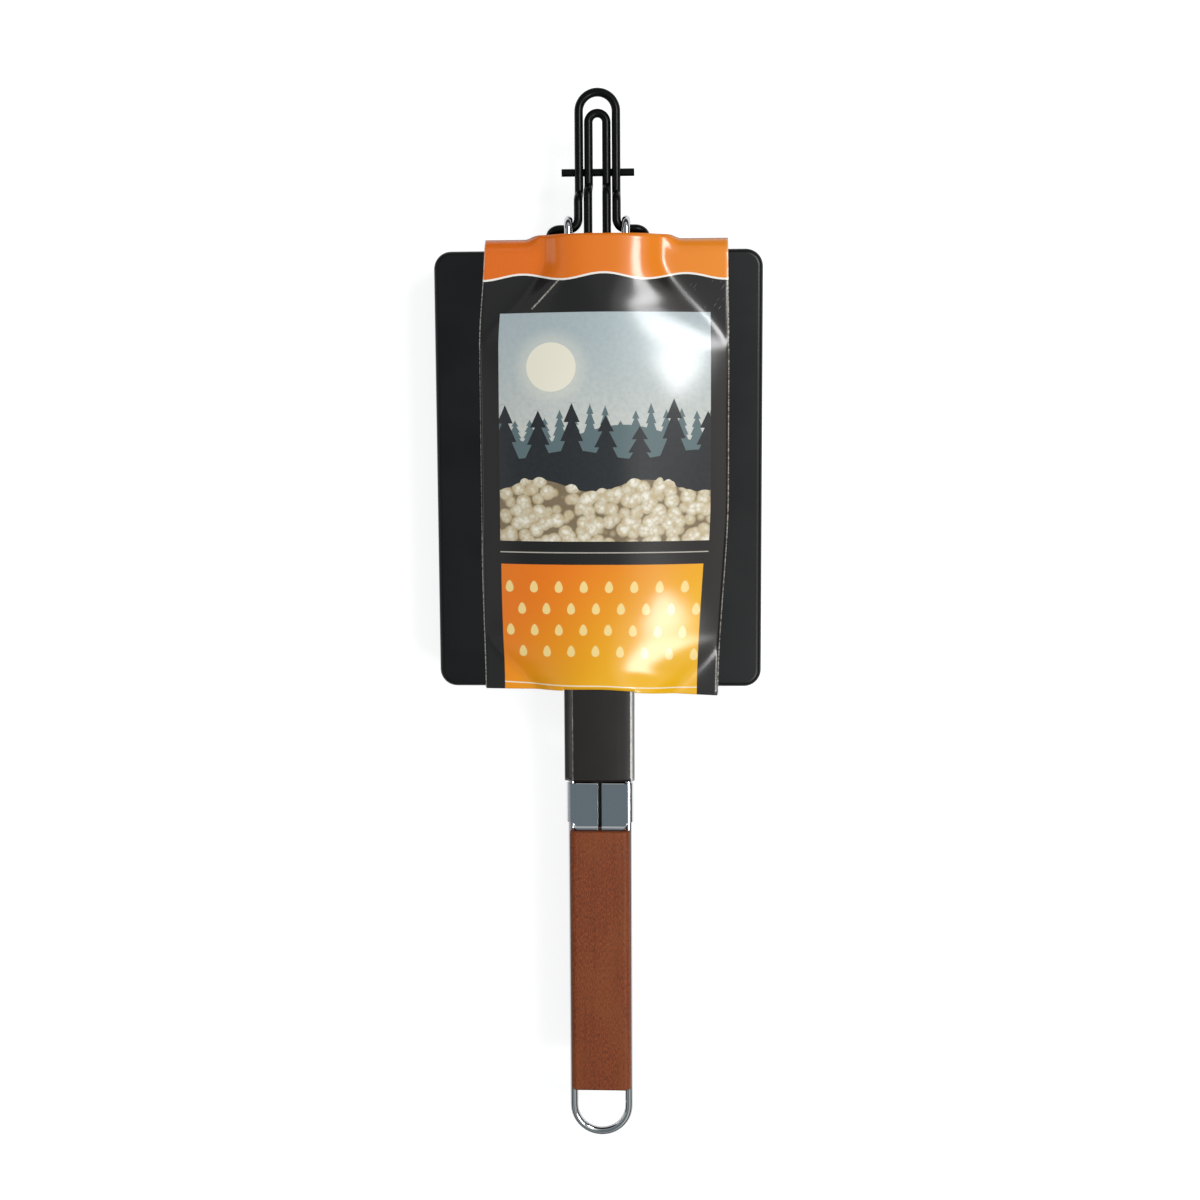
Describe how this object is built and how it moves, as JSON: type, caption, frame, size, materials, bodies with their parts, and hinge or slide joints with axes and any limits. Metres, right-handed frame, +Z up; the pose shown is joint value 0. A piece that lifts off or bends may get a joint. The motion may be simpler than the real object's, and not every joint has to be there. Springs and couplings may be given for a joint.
{
  "type": "campfire popcorn popper",
  "caption": "Folded campfire popcorn popper: drawn black pan with a hinged vented lid, nested wire loops, a long folding chrome wire handle with wood grip, and a card sleeve.",
  "frame": {"origin": "middle of the lid's outer face, which the folded popper lies on; it is the middle of the pan's footprint", "axes": "+Y along the handle from the grip towards the wire loops, +Z up from the lid to the pan's bottom, +X to the side away from the lid's hinges"},
  "size_m": [0.1961, 0.6206, 0.0642],
  "materials": {
    "black_coated_steel": "satin",
    "black_coated_wire": "semi-gloss",
    "chromed_wire": "polished",
    "chromed_sheet": "polished",
    "steel_pin": "plain",
    "grip_wood": "satin stained",
    "printed_card": "gloss coated print",
    "brown_card": "gloss coated print"
  },
  "bodies": {
    "pan": {"pan_shell": "black_coated_steel", "end_strap": "black_coated_steel", "strap_rivets": "black_coated_steel", "outer_loop": "black_coated_wire", "inner_loop": "black_coated_wire", "cross_bar": "black_coated_wire", "pan_hinge_leaf_near_grip": "black_coated_steel", "pan_hinge_leaf_near_loops": "black_coated_steel", "hinge_pin_near_grip": "steel_pin", "hinge_pin_near_loops": "steel_pin", "pan_hinge_rivets": "black_coated_steel"},
    "lid": {"lid_panel": "black_coated_steel", "lid_hinge_leaf_near_grip": "black_coated_steel", "lid_hinge_leaf_near_loops": "black_coated_steel", "lid_hinge_rivets": "black_coated_steel"},
    "handle": {"handle_wire": "chromed_wire", "wood_grip": "grip_wood"},
    "sleeve": {"sliding_sleeve": "chromed_sheet"},
    "card": {"card_panel": "printed_card", "card_tongue": "brown_card"}
  },
  "joints": [
    {"name": "lid_open", "type": "hinge", "parent": "pan", "child": "lid", "pos_m": [-0.0975, 0, 0.011], "axis": [0, 1, 0], "range_deg": [0, 180]},
    {"name": "handle_fold", "type": "hinge", "parent": "pan", "child": "handle", "pos_m": [0, 0.1387, 0.0478], "axis": [-1, 0, 0], "range_deg": [0, 180]},
    {"name": "sleeve_slide", "type": "slide", "parent": "handle", "child": "sleeve", "axis": [0, 1, 0], "range_m": [0, 0.285]},
    {"name": "card_slide", "type": "slide", "parent": "handle", "child": "card", "axis": [0, -1, 0], "range_m": [0, 0.09]}
  ],
  "couplings": [
    {"joint": "card_slide", "follows": "handle_fold", "m_per_rad": 0.028647}
  ]
}
